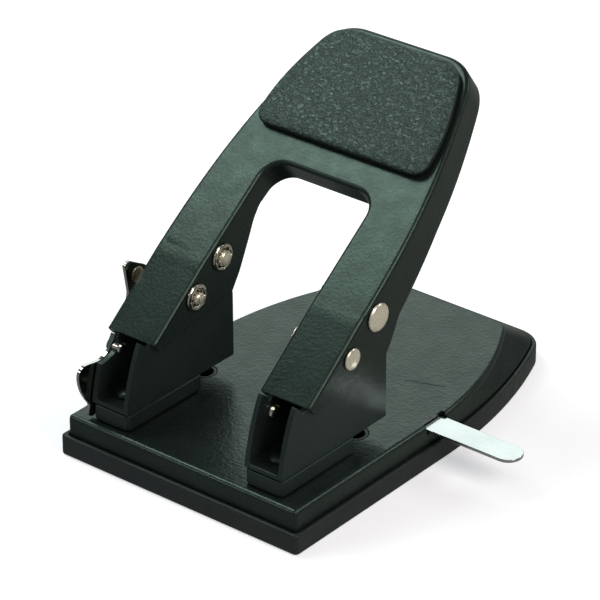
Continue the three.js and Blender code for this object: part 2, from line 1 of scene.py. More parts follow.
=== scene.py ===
import bpy
import bmesh
import math
from math import cos, sin, pi, radians
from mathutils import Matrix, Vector


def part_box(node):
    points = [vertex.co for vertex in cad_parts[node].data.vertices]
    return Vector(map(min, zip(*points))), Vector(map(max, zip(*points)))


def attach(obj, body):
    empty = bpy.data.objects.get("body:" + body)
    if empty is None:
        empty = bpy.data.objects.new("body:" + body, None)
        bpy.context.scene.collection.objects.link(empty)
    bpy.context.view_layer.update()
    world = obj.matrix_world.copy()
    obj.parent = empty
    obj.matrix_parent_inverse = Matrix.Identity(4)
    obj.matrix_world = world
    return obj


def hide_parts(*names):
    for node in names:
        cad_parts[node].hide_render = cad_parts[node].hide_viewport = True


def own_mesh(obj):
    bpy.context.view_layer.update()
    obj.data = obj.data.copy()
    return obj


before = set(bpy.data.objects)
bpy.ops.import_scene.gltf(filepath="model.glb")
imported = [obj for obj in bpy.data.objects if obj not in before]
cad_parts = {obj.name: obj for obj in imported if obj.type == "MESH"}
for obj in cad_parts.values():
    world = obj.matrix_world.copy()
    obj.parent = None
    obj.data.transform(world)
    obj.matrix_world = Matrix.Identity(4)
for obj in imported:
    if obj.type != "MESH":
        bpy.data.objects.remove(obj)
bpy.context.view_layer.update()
scene = bpy.context.scene

# Lengths are in millimetres from here to the stage, with y measured from the tray's front edge.
MM = 0.001
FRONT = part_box("chip_tray")[0].y    # metres
HEAD_X = 35.0       # a punch head's middle, half of the 70 mm hole spacing
PIN_Y = 56.0        # the punch pins' line
GAP = 0.3           # clearance between neighbours


def at(p):
    """A point of the millimetre frame, in metres in the shared frame."""
    return Vector((p[0] * MM, FRONT + p[1] * MM, p[2] * MM))


# ---- mesh helpers -------------------------------------------------------------------------------

def mesh_object(name, verts, faces):
    """A mesh in the scene, with its faces turned outwards."""
    name = "fine_" + name.replace(" ", "_")
    mesh = bpy.data.meshes.new(name)
    mesh.from_pydata([at(v) for v in verts], [], faces)
    mesh.validate()
    obj = bpy.data.objects.new(name, mesh)
    scene.collection.objects.link(obj)
    bm = bmesh.new()
    bm.from_mesh(mesh)
    bmesh.ops.recalc_face_normals(bm, faces=bm.faces)
    bm.to_mesh(mesh)
    bm.free()
    return obj


def loft(name, rings, closed=False):
    """Skin through rings of points, with a cap at each end unless the last ring joins the first."""
    n = len(rings[0])
    verts = [p for ring in rings for p in ring]
    faces = []
    for r in range(len(rings) if closed else len(rings) - 1):
        s = (r + 1) % len(rings)
        for i in range(n):
            j = (i + 1) % n
            faces.append((r * n + i, r * n + j, s * n + j, s * n + i))
    if not closed:
        faces.append(tuple(range(n))[::-1])
        faces.append(tuple((len(rings) - 1) * n + i for i in range(n)))
    return mesh_object(name, verts, faces)


def prism_x(name, outline, x0, x1):
    """A (y, z) outline, extruded across."""
    return loft(name, [[(x, y, z) for y, z in outline] for x in (x0, x1)])


def prism_z(name, outline, z0, z1):
    """An (x, y) outline, extruded upwards."""
    return loft(name, [[(x, y, z) for x, y in outline] for z in (z0, z1)])


def box(name, x0, x1, y0, y1, z0, z1):
    return prism_z(name, [(x0, y0), (x1, y0), (x1, y1), (x0, y1)], z0, z1)


def lathe(name, profile, centre, axis="z", n=64):
    """Turned piece: profile of (radius, height). A profile that ends off the axis is closed on itself."""
    cx, cy, cz = centre
    solid = profile[0][0] < 1e-6
    verts, faces, rows = [], [], []
    for r, h in profile:
        count = 1 if r < 1e-6 else n
        rows.append((len(verts), count))
        for i in range(count):
            a = 2 * pi * i / n
            u, v = r * cos(a), r * sin(a)
            verts.append((cx + u, cy + v, cz + h) if axis == "z" else (cx + h, cy + u, cz + v))
    pairs = list(zip(rows, rows[1:])) + ([] if solid else [(rows[-1], rows[0])])
    for (a, na), (b, nb) in pairs:
        for i in range(n):
            j = (i + 1) % n
            if na == 1:
                faces.append((a, b + j, b + i))
            elif nb == 1:
                faces.append((a + i, a + j, b))
            else:
                faces.append((a + i, a + j, b + j, b + i))
    return mesh_object(name, verts, faces)


def apply_modifiers(obj):
    """Bake the modifiers into the mesh."""
    bpy.context.view_layer.update()
    graph = bpy.context.evaluated_depsgraph_get()
    mesh = bpy.data.meshes.new_from_object(obj.evaluated_get(graph))
    old = obj.data
    obj.modifiers.clear()
    obj.data = mesh
    bpy.data.meshes.remove(old)


def boolean(obj, cutters, operation="DIFFERENCE"):
    for c in cutters:
        m = obj.modifiers.new("cut", "BOOLEAN")
        m.object, m.operation, m.solver = c, operation, "EXACT"
    apply_modifiers(obj)
    for c in cutters:
        bpy.data.objects.remove(c)
    return obj


def dress(obj, body, nodes, material, bevel=0.25, segments=2, angle=32):
    """Soft edges, flat faces kept flat, then the piece's body, finish and the CAD nodes it stands for."""
    for p in obj.data.polygons:
        p.use_smooth = True
    if bevel:
        m = obj.modifiers.new("soft edges", "BEVEL")
        m.width, m.segments, m.limit_method = bevel * MM, segments, "ANGLE"
        m.angle_limit = radians(angle)
        m.miter_outer = "MITER_ARC"
    w = obj.modifiers.new("normals", "WEIGHTED_NORMAL")
    w.keep_sharp, w.weight = True, 60
    obj.data.materials.clear()
    obj.data.materials.append(material)
    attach(obj, body)
    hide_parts(*nodes)
    return obj


def line(a, b, n):
    """n points from a towards b, without b itself."""
    return [tuple(a[k] + (b[k] - a[k]) * i / n for k in range(2)) for i in range(n)]


def bezier(p, n):
    """A curve on three or four control points, without its last point."""
    out = []
    for i in range(n):
        t = i / n
        if len(p) == 3:
            w = ((1 - t) ** 2, 2 * t * (1 - t), t * t)
        else:
            w = ((1 - t) ** 3, 3 * t * (1 - t) ** 2, 3 * t * t * (1 - t), t ** 3)
        out.append(tuple(sum(w[j] * p[j][k] for j in range(len(p))) for k in range(2)))
    return out


def arc(cx, cy, r, a0, a1, n, last=False):
    return [(cx + r * cos(a0 + (a1 - a0) * i / n), cy + r * sin(a0 + (a1 - a0) * i / n))
            for i in range(n + (1 if last else 0))]


# ---- materials ----------------------------------------------------------------------------------

class Nodes:
    """A small shader builder on object coordinates, in metres."""

    def __init__(self, name):
        self.material = bpy.data.materials.new(name)
        self.material.use_nodes = True
        self.tree = self.material.node_tree
        self.tree.nodes.clear()
        self.out = self.add("ShaderNodeOutputMaterial")
        self.shader = self.add("ShaderNodeBsdfPrincipled")
        self.tree.links.new(self.shader.outputs[0], self.out.inputs[0])
        self.coord = self.add("ShaderNodeTexCoord").outputs["Object"]

    def add(self, kind, **props):
        node = self.tree.nodes.new(kind)
        for k, v in props.items():
            setattr(node, k, v)
        return node

    def feed(self, socket, value):
        if isinstance(value, bpy.types.NodeSocket):
            self.tree.links.new(value, socket)
        else:
            socket.default_value = value

    def set(self, **values):
        for k, v in values.items():
            self.feed(self.shader.inputs[k.replace("_", " ")], v)

    def scaled(self, x, y, z, vector=None):
        m = self.add("ShaderNodeMapping")
        self.feed(m.inputs["Vector"], vector or self.coord)
        m.inputs["Scale"].default_value = (x, y, z)
        return m.outputs[0]

    def along(self, direction):
        """How far a point lies in a direction."""
        dot = self.add("ShaderNodeVectorMath", operation="DOT_PRODUCT")
        self.feed(dot.inputs[0], self.coord)
        dot.inputs[1].default_value = direction
        return dot.outputs["Value"]

    def noise(self, scale, detail=4.0, rough=0.55, vector=None, distortion=0.0):
        n = self.add("ShaderNodeTexNoise")
        self.feed(n.inputs["Vector"], vector or self.coord)
        for k, v in (("Scale", scale), ("Detail", detail), ("Roughness", rough), ("Distortion", distortion)):
            n.inputs[k].default_value = v
        return n.outputs["Fac"]

    def cells(self, scale, feature="F1", vector=None, smooth=None):
        n = self.add("ShaderNodeTexVoronoi", feature=feature)
        self.feed(n.inputs["Vector"], vector or self.coord)
        n.inputs["Scale"].default_value = scale
        if smooth is not None:
            n.inputs["Smoothness"].default_value = smooth
        return n.outputs["Distance"]

    def warp(self, scale, amount):
        n = self.add("ShaderNodeTexNoise")
        self.feed(n.inputs["Vector"], self.coord)
        n.inputs["Scale"].default_value = scale
        shift = self.add("ShaderNodeVectorMath", operation="SUBTRACT")
        self.feed(shift.inputs[0], n.outputs["Color"])
        shift.inputs[1].default_value = (0.5, 0.5, 0.5)
        size = self.add("ShaderNodeVectorMath", operation="SCALE")
        self.feed(size.inputs[0], shift.outputs[0])
        size.inputs["Scale"].default_value = amount
        total = self.add("ShaderNodeVectorMath", operation="ADD")
        self.feed(total.inputs[0], self.coord)
        self.feed(total.inputs[1], size.outputs[0])
        return total.outputs[0]

    def ramp(self, value, *stops):
        n = self.add("ShaderNodeValToRGB")
        self.feed(n.inputs[0], value)
        e = n.color_ramp.elements
        while len(e) < len(stops):
            e.new(0.5)
        for el, (pos, colour) in zip(e, stops):
            el.position = pos
            el.color = (*colour, 1) if len(colour) == 3 else colour
        return n.outputs[0]

    def span(self, value, a0, a1, b0, b1):
        n = self.add("ShaderNodeMapRange")
        self.feed(n.inputs["Value"], value)
        for k, v in zip(("From Min", "From Max", "To Min", "To Max"), (a0, a1, b0, b1)):
            n.inputs[k].default_value = v
        return n.outputs["Result"]

    def math(self, op, a, b):
        n = self.add("ShaderNodeMath", operation=op)
        self.feed(n.inputs[0], a)
        self.feed(n.inputs[1], b)
        return n.outputs[0]

    def mix(self, factor, a, b):
        n = self.add("ShaderNodeMix", data_type="RGBA")
        self.feed(n.inputs[0], factor)
        self.feed(n.inputs[6], a)
        self.feed(n.inputs[7], b)
        return n.outputs[2]

    def bump(self, *layers):
        """Layers of (height, distance in metres, strength), the finest last."""
        normal = None
        for height, distance, strength in layers:
            b = self.add("ShaderNodeBump")
            b.inputs["Strength"].default_value = strength
            b.inputs["Distance"].default_value = distance
            self.feed(b.inputs["Height"], height)
            if normal is not None:
                self.feed(b.inputs["Normal"], normal)
            normal = b.outputs[0]
        self.feed(self.shader.inputs["Normal"], normal)


def enamel(name, fine, base=(0.0068, 0.0098, 0.0088), rough=0.31, grain=0.5, coat=0.12):
    """Black stoved enamel over pressed steel: a fine wrinkle, faint colour drift, dust in the low places."""
    n = Nodes(name)
    wrinkle = n.cells(820 * fine, "SMOOTH_F1", n.warp(500, 0.0010), 0.5)
    haze = n.noise(28, 3)
    dust = n.noise(420, 5, 0.7)
    low = tuple(c * 0.75 for c in base)
    high = tuple(c * 1.35 for c in base)
    colour = n.ramp(haze, (0.3, low), (0.7, high))
    colour = n.mix(n.span(dust, 0.55, 0.8, 0.0, 0.2), colour, tuple(c * 1.8 for c in base) + (1,))
    n.set(Base_Color=colour, Roughness=n.span(n.noise(160, 4), 0.3, 0.7, rough - 0.05, rough + 0.07),
          Specular_IOR_Level=0.36, Specular_Tint=(0.68, 1.0, 0.87, 1), Coat_Weight=coat, Coat_Roughness=0.2)
    n.bump((n.noise(60, 2), 0.0001, 0.05), (wrinkle, 0.00018, grain * 0.5),
           (n.noise(2600, 3, 0.6), 0.00006, grain * 0.5))
    return n.material


def plastic(name):
    """Moulded black plastic with a fine spark-eroded texture and slight scuffs."""
    n = Nodes(name)
    scuff = n.noise(1, 3, 0.6, n.scaled(60, 900, 60))
    colour = n.ramp(n.noise(35, 3), (0.3, (0.0095, 0.0130, 0.0125)), (0.7, (0.0150, 0.0195, 0.0185)))
    colour = n.mix(n.span(scuff, 0.62, 0.8, 0.0, 0.25), colour, (0.03, 0.036, 0.034, 1))
    n.set(Base_Color=colour, Roughness=n.span(n.noise(240, 4), 0.3, 0.7, 0.42, 0.56), Specular_IOR_Level=0.4)
    n.bump((n.noise(1500, 4, 0.65), 0.00012, 0.4), (n.cells(1800), 0.0001, 0.25))
    return n.material


def leather(name, foot, out, skirt=0.0028):
    """Imitation leather with a fine wrinkled grain. Up to the skirt's height it is smooth and carries painted
    shade: a near-black colour on the pad's lower sides.
    """
    n = Nodes(name)
    stretched = n.scaled(0.58, 1.0, 1.0, n.warp(480, 0.0016))
    crease = n.span(n.noise(1150, 2.0, 0.5, stretched, 0.9), 0.36, 0.64, 0.0, 1.0)
    fine = n.noise(1500, 3.0, 0.6, stretched, 0.6)
    large = n.noise(170, 3)
    edge = foot.dot(out) + skirt
    top = n.span(n.along(out), edge - 0.0004, edge + 0.0003, 0.0, 1.0)
    colour = n.ramp(crease, (0.1, (0.004, 0.0055, 0.0050)), (0.5, (0.018, 0.0245, 0.0222)),
                    (0.9, (0.053, 0.071, 0.065)))
    colour = n.mix(n.span(large, 0.35, 0.7, 0.0, 0.3), colour, (0.018, 0.025, 0.023, 1))
    # Painted shade: below the skirt's height the pad's sides are coloured near-black in place of the shade that
    # falls there.
    colour = n.mix(top, (0.004, 0.0055, 0.005, 1), colour)
    n.set(Base_Color=colour, Roughness=n.span(crease, 0.0, 1.0, 0.48, 0.38), Specular_IOR_Level=0.6,
          Specular_Tint=(0.74, 1.0, 0.93, 1))
    n.bump((large, 0.0006, 0.3), (n.math("MULTIPLY", crease, top), 0.00026, 0.7), (fine, 0.00006, 0.5))
    return n.material


def nickel(name, colour, rough, brushed=(1600, 1600, 1600), metallic=1.0):
    """Nickel plate with fine wipe marks or brushing, and slight yellowing."""
    n = Nodes(name)
    marks = n.noise(1, 4, 0.6, n.scaled(*brushed))
    tint = n.ramp(n.noise(80, 3), (0.35, tuple(c * 0.92 for c in colour)), (0.65, colour))
    n.set(Base_Color=tint, Metallic=metallic, Roughness=n.span(marks, 0.3, 0.7, rough * 0.75, rough * 1.3))
    n.bump((marks, 0.00001, 0.1))
    return n.material


def steel(name, colour=(0.46, 0.46, 0.45), rough=0.3, grain=(300, 300, 2500)):
    """Zinc-plated or ground steel, with grinding lines and a little oil staining."""
    n = Nodes(name)
    lines = n.noise(1, 5, 0.65, n.scaled(*grain))
    stain = n.noise(120, 4)
    tint = n.ramp(stain, (0.3, tuple(c * 0.6 for c in colour)), (0.6, colour))
    n.set(Base_Color=tint, Metallic=1.0, Roughness=n.span(lines, 0.3, 0.7, rough * 0.75, rough * 1.3))
    n.bump((lines, 0.00004, 0.3))
    return n.material


ENAMEL = enamel("black enamel", 1.0)
ENAMEL_BASE = enamel("black enamel on the base", 0.9, rough=0.33, grain=1.1, coat=0.2)
# A lighter copy of the black enamel: painted light that brightens the heads' cheeks, channels and foot blocks
# and the rivets painted with them.
ENAMEL_HEAD_LIGHTENED = enamel("black enamel on the heads, painted lighter", 1.1, base=(0.0100, 0.0140, 0.0132), rough=0.34, grain=0.4)
TRAY = plastic("tray plastic")
NICKEL = nickel("nickel", (0.86, 0.80, 0.69), 0.18)
SATIN = nickel("satin nickel", (0.90, 0.83, 0.68), 0.27, (500, 500, 500), metallic=0.78)
MIRROR = nickel("polished nickel", (0.62, 0.59, 0.53), 0.10)
CHROME = nickel("bright strip", (0.70, 0.68, 0.71), 0.16, (60, 2600, 2600))
ZINC = steel("zinc-plated steel")
GROUND = steel("ground steel", (0.52, 0.52, 0.51), 0.22)
OXIDE = steel("dark oxide", (0.055, 0.06, 0.06), 0.42, (500, 500, 500))

# ---- base and chip tray -------------------------------------------------------------------------

HALF, INSET, CORNER = 52.3, 2.0, 1.6    # half width, front edge, front corner radius
# The plan at the foot and at the top: where the sides' arcs start, their radius, the rear edge, its corners.
FOOT = dict(arc=85, radius=196, rear=163.8, corner=11)
TOP = dict(arc=78, radius=138, rear=154.2, corner=9)
BASE_TOP, SHEET, BEND, BREAK = 16.0, 1.2, 1.8, 8.6  # top face, sheet, its top bend, start of the slope
GUIDE_Y = 81.6      # the paper guide's middle


def plan(p, inset):
    """The base's outline, moved in by inset."""
    half, front = HALF - inset, INSET + inset
    rear, radius = p["rear"] - inset, p["radius"] - inset
    c = max(CORNER - max(inset, 0), 0.4)
    k = max(p["corner"] - inset, 0.4)
    cx = HALF - p["radius"]
    cy = rear - k
    sweep = math.asin((cy - p["arc"]) / (radius - k))
    right = line((half * 0.5, front), (half - c, front), 6)
    right += arc(half - c, front + c, c, -pi / 2, 0, 8)
    right += line((half, front + c), (half, p["arc"]), 14)
    right += arc(cx, p["arc"], radius, 0, sweep, 36)
    right += arc(cx + (radius - k) * cos(sweep), cy, k, sweep, pi / 2, 16, True)
    right += [(x, rear) for x in (half * 0.25, half * 0.1)]
    return right + [(-x, y) for x, y in reversed(right)]


def ring(t, inset, z):
    """An outline between the foot's, at 0, and the top's, at 1."""
    a, b = plan(FOOT, inset), plan(TOP, inset)
    return [(u[0] + (v[0] - u[0]) * t, u[1] + (v[1] - u[1]) * t, z) for u, v in zip(a, b)]


def base_plate():
    rings = [ring(0, 0, 2.1), ring(0, 0, 5), ring(0, 0, 7.8), ring(0.015, 0, 8.4), ring(0.06, 0, 9.0)]
    rings += [ring((z - BREAK) / (BASE_TOP - BEND - BREAK), 0, z) for z in (9.6, 11, 12.4, 13.6)]
    for i in range(9):
        a = i * pi / 16
        rings.append(ring(1, BEND * (1 - cos(a)), BASE_TOP - BEND * (1 - sin(a))))
    plate = loft("base plate", rings)
    hollow = [ring(0, SHEET, 1), ring(0, SHEET, BREAK - 0.7), ring(1, SHEET + 0.7, BASE_TOP - BEND - 0.5),
              ring(1, BEND + 0.8, BASE_TOP - SHEET)]
    cutters = [loft("hollow", hollow)]
    die = 5.3
    for x in (-HEAD_X, HEAD_X):
        cutters.append(lathe("hole", [(0, -3), (die, -3), (die, 3), (0, 3)], (x, PIN_Y, BASE_TOP), n=48))
    cutters.append(box("slot", HALF - 2.8, HALF + 2, GUIDE_Y - 6.1, GUIDE_Y + 6.1, 12.4, BASE_TOP + 1))
    # A faint scored line on the top, by the paper guide.
    a, b = Vector((25.8, 96.5)), Vector((40.7, 102.0))
    side = (b - a).normalized().orthogonal() * 0.16
    corners = [tuple(a + side), tuple(b + side), tuple(b - side), tuple(a - side)]
    cutters.append(prism_z("score", corners, BASE_TOP - 0.1, BASE_TOP + 1))
    boolean(plate, cutters)
    return dress(plate, "base", ["base_plate"], ENAMEL_BASE, bevel=0.18, segments=2, angle=40)


def chip_tray():
    """Inset and height pairs, up the outer wall and down the inner one to the floor."""
    outer = [(-1.2, 0), (-1.45, 0.04), (-1.76, 0.24), (-1.96, 0.55), (-2, 0.8), (-2, 4), (-2, 7.35),
             (-1.9, 7.7), (-1.65, 7.92), (-1.3, 8)]
    inner = [(-0.7, 8), (-0.4, 7.88), (-0.3, 7.6), (-0.3, 5), (-0.3, 2.4), (-0.1, 2.0), (0.4, 1.8)]
    tray = loft("chip tray", [ring(0, i, z) for i, z in outer + inner])
    return dress(tray, "chip_tray", ["chip_tray"], TRAY, bevel=0)


# ---- handle -------------------------------------------------------------------------------------

# On the flat handle, u runs up its slope from the bend between the legs and the plate.
BEND_Y, BEND_Z = 44.0, 68.35
SLOPE, LEG_SLOPE = radians(36.2), radians(38.55)
LEG_OUT, LEG_IN, LEG_END, REACH = 46.1, 23.9, 34.0, 106.0   # legs' sides, their lower end, the far end
WINDOW, WINDOW_CORNER, FLANGE = 46.7, 8.5, 1.6              # window's end and corners, sheet thickness


def on_handle(x, u, v):
    """From the flat handle (x across, u up the slope, v out of the top face) to the assembly."""
    bend = 4            # half the length over which the legs turn
    tilt = (LEG_SLOPE - SLOPE) * min(max((bend - u) / (2 * bend), 0), 1)
    u, v = u * cos(tilt) - v * sin(tilt), u * sin(tilt) + v * cos(tilt)
    return (x, BEND_Y + u * cos(SLOPE) - v * sin(SLOPE), BEND_Z + u * sin(SLOPE) + v * cos(SLOPE))


def outer_path(i):
    """The skirt's outer outline, in (x, u), moved in by i."""
    leg, low, tx, ty = LEG_OUT - i, -LEG_END - 6, 34 - i, 94 - i * 0.35
    right = line((leg, low), (leg, 4), 30)
    right += bezier([(leg, 4), (leg, 46), (41 - i, 70), (tx, ty)], 44)
    right += bezier([(tx, ty), (30.2 - i, REACH - i), (18 - i * 0.4, REACH - i)], 22)
    right += line((18 - i * 0.4, REACH - i), (0, REACH - i), 6) + [(0, REACH - i)]
    return right + [(-x, y) for x, y in reversed(right[:-1])]


def inner_path(i):
    """The outline between the legs and round the window, moved into the metal by i."""
    half, top, c, low = LEG_IN + i, WINDOW + i, WINDOW_CORNER + i, -LEG_END - 6
    left = line((-half, low), (-half, top - c), 44)
    left += arc(-half + c, top - c, c, pi, pi / 2, 16)
    left += line((-half + c, top), (0, top), 6) + [(0, top)]
    return left + [(-x, y) for x, y in reversed(left[:-1])]


def follow(table, u):
    """The table's value at u, on straight lines between its rows."""
    for (u0, v0), (u1, v1) in zip(table, table[1:]):
        if u <= u1:
            return v0 + (v1 - v0) * max(u - u0, 0) / (u1 - u0)
    return table[-1][1]


# How far down the skirt reaches, outside and inside, as (u, depth).
OUTER_DEPTH = [(-34.7, -4.05), (2.15, -23.8), (6.1, -22.6), (14.96, -18.3), (36.2, -15.9), (47.4, -14.6),
               (98, -12)]
INNER_DEPTH = [(-34.7, -4.05), (2.15, -23.8), (10.1, -20.7), (20.15, -15.3), (26.8, -11.4), (32.1, -9.6),
               (42.7, -10.5)]


def handle():
    """One pressed sheet: down its outside, round the skirt's edge, and up its inside."""
    R = 1.5             # the fold's outer radius

    def ring_at(inset, v, share=None):
        """Both outlines at height v, or at a share of the way down to the skirt's edge."""
        pts = [(x, u, OUTER_DEPTH) for x, u in outer_path(inset)]
        pts += [(x, u, INNER_DEPTH) for x, u in inner_path(inset)]
        out = []
        for x, u, table in pts:
            d = follow(table, u)
            h = v if share is None else (-R + (d + 0.45 + R) * share if share < 1 else d + v)
            out.append((x, u, h))
        return out

    rings = [ring_at(R * 1.9, 0.0)]
    for k in range(9):
        a = k * pi / 16
        rings.append(ring_at(R * (1 - sin(a)), -R * (1 - cos(a))))
    rings += [ring_at(0, 0, s) for s in (0.15, 0.4, 0.7)]
    for inset, v in ((0, 0.45), (0.1, 0.16), (0.35, 0), (1.25, 0), (1.5, 0.16), (1.6, 0.45)):
        rings.append(ring_at(inset, v, 1))
    rings += [ring_at(FLANGE, 0, s) for s in (0.7, 0.4)]
    rings += [ring_at(FLANGE, -2.5), ring_at(FLANGE + 0.12, -2.0), ring_at(FLANGE + 0.45, -1.68),
              ring_at(FLANGE + 1, -FLANGE)]
    n = len(rings[0])
    verts = [p for r in rings for p in r]
    faces = [(r * n + i, r * n + (i + 1) % n, (r + 1) * n + (i + 1) % n, (r + 1) * n + i)
             for r in range(len(rings) - 1) for i in range(n)]
    faces += [tuple(range(n))[::-1], tuple((len(rings) - 1) * n + i for i in range(n))]
    bm = bmesh.new()
    for v in verts:
        bm.verts.new(v)
    bm.verts.ensure_lookup_table()
    for f in faces:
        bm.faces.new([bm.verts[i] for i in f])
    bmesh.ops.recalc_face_normals(bm, faces=bm.faces)

    def slice_at(u, clear=False):
        bmesh.ops.bisect_plane(bm, geom=bm.verts[:] + bm.edges[:] + bm.faces[:], plane_co=(0, u, 0),
                               plane_no=(0, 1, 0), clear_inner=clear)
    slice_at(-LEG_END, True)
    bmesh.ops.holes_fill(bm, edges=[e for e in bm.edges if e.is_boundary], sides=0)
    for u in (-4, -2.4, -0.8, 0.8, 2.4, 4):
        slice_at(u)
    for v in bm.verts:
        v.co = at(on_handle(*v.co))
    bmesh.ops.recalc_face_normals(bm, faces=bm.faces)
    mesh = bpy.data.meshes.new("fine_handle")
    bm.to_mesh(mesh)
    bm.free()
    obj = bpy.data.objects.new("fine_handle", mesh)
    scene.collection.objects.link(obj)
    return dress(obj, "handle", ["handle"], ENAMEL, bevel=0.2, segments=2, angle=50)


def pad_outline(i):
    """The pad's outline, in (x, u), moved in by i."""
    low, half, c, top = 57.5 + i, 37.8 - i, 6 - i * 0.4, 102.9 - i
    right = line((0, low), (half - c, low), 16)
    right += bezier([(half - c, low), (half, low), (half, low + c)], 12)
    right += bezier([(half, low + c), (half, 72), (36 - i, 82), (30.9 - i, 94.7 - i * 0.3)], 26)
    right += bezier([(30.9 - i, 94.7 - i * 0.3), (28 - i, top), (18.5 - i * 0.4, top)], 18)
    right += line((18.5 - i * 0.4, top), (0, top), 10) + [(0, top)]
    return right + [(-x, y) for x, y in reversed(right[1:-1])]


def handle_pad():
    """Leather-covered pad: sides pull in at the foot, swell, roll over, and the top is slightly crowned."""
    rings = [[(x, u, 0.3) for x, u in pad_outline(0.9)]]
    for inset, v in ((0.55, 0.36), (0.3, 0.6), (0.12, 1.0), (0.0, 1.5), (0.0, 2.4), (0.12, 2.95), (0.45, 3.4),
                     (0.95, 3.68), (1.7, 3.82), (3.2, 3.92)):
        rings.append([(x, u, v) for x, u in pad_outline(inset)])
    edge, rim, crown, middle, steps = rings[-1], 3.92, 0.3, 81, 14
    for k in range(1, steps):
        s = 1 - k / steps
        rings.append([(x * s, middle + (u - middle) * s, rim + crown * (1 - s * s)) for x, u, _ in edge])
    rings = [[on_handle(*p) for p in r] for r in rings]
    obj = loft("handle pad", rings)
    foot, out = at(on_handle(0, 60, 0)), at(on_handle(0, 60, 1)) - at(on_handle(0, 60, 0))
    material = leather("grained leather", foot, out.normalized())
    dress(obj, "handle", ["handle_pad"], material, bevel=0)
    sub = obj.modifiers.new("fine", "SUBSURF")
    sub.levels = sub.render_levels = 1
    return obj


# ---- punch heads --------------------------------------------------------------------------------

PIVOT, PUSHER, LEVER = (40.0, 57.0), (54.2, 67.3), (18.8, 39.8)     # rivets' (y, z)
HEAD_HALF, HEAD_SHEET, HEAD_LOW = 8.3, 2.0, 22.6    # bracket's half width, sheet and underside
WEB = HEAD_LOW + HEAD_SHEET
CHEEK = HEAD_HALF - HEAD_SHEET


def cheek_line(y):
    """The cheeks' upper edge, just under the handle's top sheet."""
    return BEND_Z + (y - BEND_Y) * math.tan(LEG_SLOPE) - (FLANGE + 0.45) / cos(LEG_SLOPE)


def bracket(name, side):
    ear = (cheek_line(PIVOT[0]) - PIVOT[1]) * cos(LEG_SLOPE)      # radius round the pivot
    rear_y, rear_z = 63.4, 49.2
    far = math.hypot(rear_y - PIVOT[0], rear_z - PIVOT[1])
    tangent = math.atan2(rear_z - PIVOT[1], rear_y - PIVOT[0]) + math.acos(ear / far)
    pts = [(5.4, HEAD_LOW + 0.6), (6.0, HEAD_LOW), (rear_y, HEAD_LOW), (rear_y, rear_z - 0.8),
           (rear_y - 0.8, rear_z)]
    pts += arc(PIVOT[0], PIVOT[1], ear, tangent, pi / 2 + LEG_SLOPE, 22, True)
    pts += [(17, cheek_line(17)), (16.6, 46.2)]
    pts += bezier([(13.4, 48.6), (10.4, 42.6), (7.6, 36), (5.4, HEAD_LOW + 0.6)], 22)
    x = side * HEAD_X
    obj = prism_x(f"{name} bracket", pts, x - HEAD_HALF, x + HEAD_HALF)
    channel = box("channel", x - CHEEK, x + CHEEK, 0, 80, WEB, 90)
    m = channel.modifiers.new("fold", "BEVEL")
    m.width, m.segments = 0.8 * MM, 4
    apply_modifiers(channel)
    hole = lathe("hole", [(0, -4), (4.05, -4), (4.05, 4), (0, 4)], (x, PIN_Y, HEAD_LOW + 1), n=40)
    cutters = [channel, hole]
    if side < 0:
        # The left cheek is cut away round the lever rivet's neck.
        notch = [(0, 37), (10.9, 37.4), (15.6, 38.6), (17.2, 40.4), (18.2, 43), (17.6, 44.2), (13.4, 41.8),
                 (16.9, 47), (16.9, 52), (0, 52)]
        cutters.append(prism_x("notch", notch, x - HEAD_HALF - 1, x - CHEEK + 0.4))
    eye = [(0, x - HEAD_HALF - 1), (2.1, x - HEAD_HALF - 1), (2.1, x - CHEEK + 1), (0, x - CHEEK + 1)]
    cutters.append(lathe("eye", eye, (0, *LEVER), "x", 32))
    boolean(obj, cutters)
    return dress(obj, "base", [f"{name}_bracket"], ENAMEL_HEAD_LIGHTENED, bevel=0.3, segments=3, angle=40)


def foot_block(name, side):
    x, h, c = side * HEAD_X, HEAD_HALF + 0.1, 1.4
    pts = [(x - h, 5.6 + c), (x - h + c, 5.6), (x + h - c, 5.6), (x + h, 5.6 + c), (x + h, 45.3), (x - h, 45.3)]
    obj = prism_z(f"{name} foot block", pts, BASE_TOP + GAP, 22.3)
    return dress(obj, "base", [f"{name}_foot_block"], ENAMEL_HEAD_LIGHTENED, bevel=0.6, segments=3)


def foot_rivet(name, side, k, y):
    low, top = BASE_TOP - SHEET - GAP, WEB + GAP
    shaft = 2.5
    pts = [(0, low - 1.4), (2.6, low - 1.4), (3.4, low - 1.15), (3.9, low - 0.6), (4, low), (shaft, low),
           (shaft, top), (4.1, top), (4.2, top + 0.25), (4.05, top + 0.8), (3.5, top + 1.35), (2.5, top + 1.78),
           (1.2, top + 1.96), (0, top + 2)]
    obj = lathe(f"{name} foot rivet {k}", pts, (side * HEAD_X, y, 0))
    return dress(obj, "base", [f"{name}_foot_rivet_{k}"], ENAMEL_HEAD_LIGHTENED, bevel=0.12)


def die_bush(name, side):
    collar, bore, top = BASE_TOP - SHEET - GAP, 3.8, BASE_TOP - 0.1
    low, flange, out = 10.4, 7.6, 5
    pts = [(bore, low), (flange, low), (flange, collar), (out, collar), (out, top), (bore + 0.15, top),
           (bore, top - 0.15)]
    obj = lathe(f"{name} die bush", pts, (side * HEAD_X, PIN_Y, 0))
    return dress(obj, "base", [f"{name}_die_bush"], OXIDE, bevel=0.15)


def pin_guide(name, side):
    x, h = side * HEAD_X, CHEEK - GAP
    low = WEB + GAP
    front, rear, lip, top = 46.5, 63.8, 66, 33
    pts = [(front, low), (rear, low), (rear, low + 1.5), (lip, low + 1.5), (lip, 30), (rear, 30), (rear, top),
           (front, top)]
    obj = prism_x(f"{name} pin guide", pts, x - h, x + h)
    boolean(obj, [lathe("hole", [(0, 20), (3.7, 20), (3.7, 40), (0, 40)], (x, PIN_Y, 0), n=48)])
    return dress(obj, "base", [f"{name}_pin_guide"], OXIDE, bevel=0.3, segments=3)


